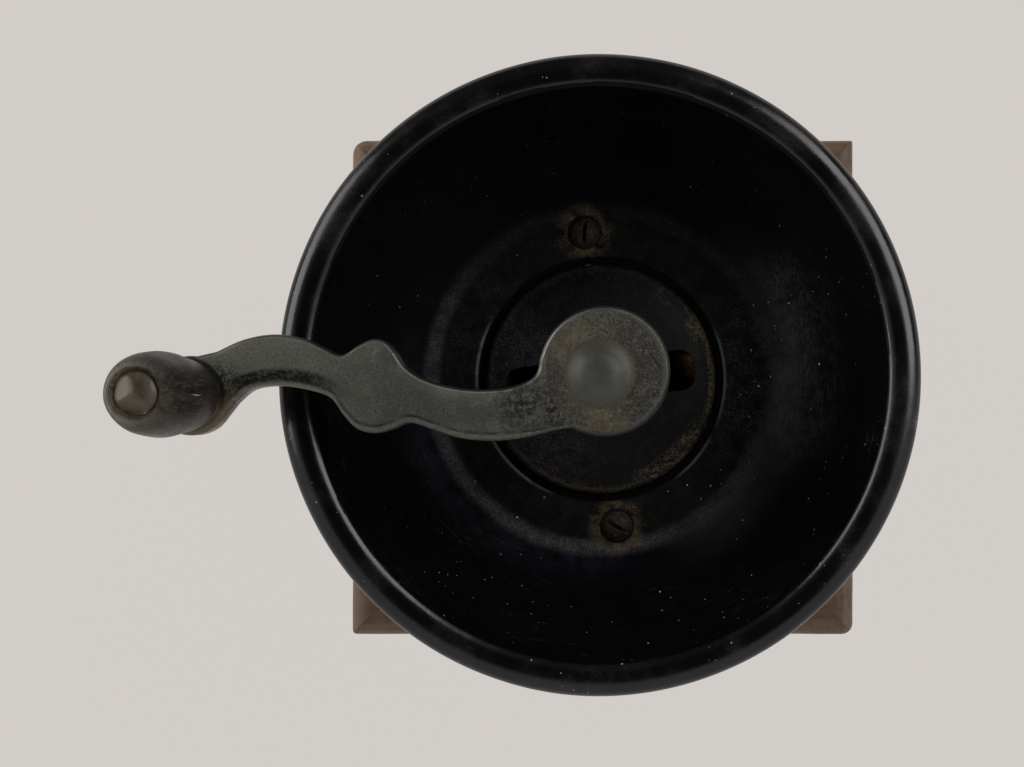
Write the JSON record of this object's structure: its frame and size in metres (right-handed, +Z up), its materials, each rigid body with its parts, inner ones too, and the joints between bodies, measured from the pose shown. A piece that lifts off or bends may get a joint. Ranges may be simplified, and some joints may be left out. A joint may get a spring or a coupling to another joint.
{
  "type": "hand crank coffee mill",
  "caption": "Wooden box coffee mill with an open black iron hopper, an S-shaped iron crank with a turned wooden knob, a burr set with a screw adjuster, and a drawer for the grounds.",
  "frame": {"origin": "on the underside of the base board, straight below the crank's shaft", "axes": "+Z up along the shaft, -Y out of the front where the drawer opens, +X to the right seen from the front"},
  "size_m": [0.2145, 0.182, 0.2151],
  "materials": {
    "box_wood": "worn dark stain",
    "inner_wood": "bare, aged",
    "knob_wood": "dark stain, worn",
    "japanned_iron": "glossy black japan, scratched",
    "crank_iron": "worn smooth",
    "burr_iron": "bare casting",
    "worn_screws": "dark, worn bright on the heads",
    "dark_steel": "dull",
    "bright_steel": "satin",
    "spindle_steel": "brown patina",
    "bush_brass": "aged"
  },
  "bodies": {
    "mill_body": {"base_board": "box_wood", "left_wall": "box_wood", "right_wall": "box_wood", "back_wall": "box_wood", "front_panel": "box_wood", "top_board": "box_wood", "corner_blocks": "inner_wood", "block_screws": "dark_steel", "base_screws": "dark_steel", "drawer_guides": "inner_wood", "hopper_bowl": "japanned_iron", "hopper_screws": "worn_screws", "centre_plate": "japanned_iron", "plate_screws": "dark_steel", "neck_bush": "bush_brass", "outer_burr": "burr_iron", "spring": "bright_steel", "lower_bridge": "burr_iron", "bridge_screws": "dark_steel", "jam_nut": "bright_steel"},
    "shaft_lift": {"thrust_ball": "bright_steel"},
    "crank": {"drive_shaft": "bright_steel", "inner_burr": "burr_iron", "burr_pin": "bright_steel", "spring_washer": "bright_steel", "crank_arm": "crank_iron", "cap_nut": "crank_iron", "knob_washer": "bush_brass", "knob_spindle": "spindle_steel"},
    "knob": {"knob_grip": "knob_wood"},
    "adjuster": {"adjusting_screw": "bright_steel"},
    "drawer": {"drawer_front": "box_wood", "drawer_left_side": "inner_wood", "drawer_right_side": "inner_wood", "drawer_back": "inner_wood", "drawer_bottom": "inner_wood", "drawer_nails": "dark_steel", "drawer_knob": "knob_wood", "drawer_knob_screw": "dark_steel"}
  },
  "joints": [
    {"name": "shaft_lift", "type": "slide", "parent": "mill_body", "child": "shaft_lift", "axis": [0, 0, 1], "range_m": [0, 0.0012], "deforming": ["spring"]},
    {"name": "crank_turn", "type": "hinge", "parent": "shaft_lift", "child": "crank", "pos_m": [0, 0, 0.16], "axis": [0, 0, -1], "continuous": true},
    {"name": "knob_spin", "type": "hinge", "parent": "crank", "child": "knob", "pos_m": [-0.11243, -0.00609, 0.195], "axis": [0, 0, 1], "continuous": true},
    {"name": "adjuster_turn", "type": "hinge", "parent": "shaft_lift", "child": "adjuster", "pos_m": [0, 0, 0.06], "axis": [0, 0, 1], "range_deg": [0, 432]},
    {"name": "drawer_slide", "type": "slide", "parent": "mill_body", "child": "drawer", "axis": [0, -1, 0], "range_m": [0, 0.1]}
  ],
  "couplings": [
    {"joint": "adjuster_turn", "follows": "shaft_lift", "rad_per_m": 6283.2}
  ]
}
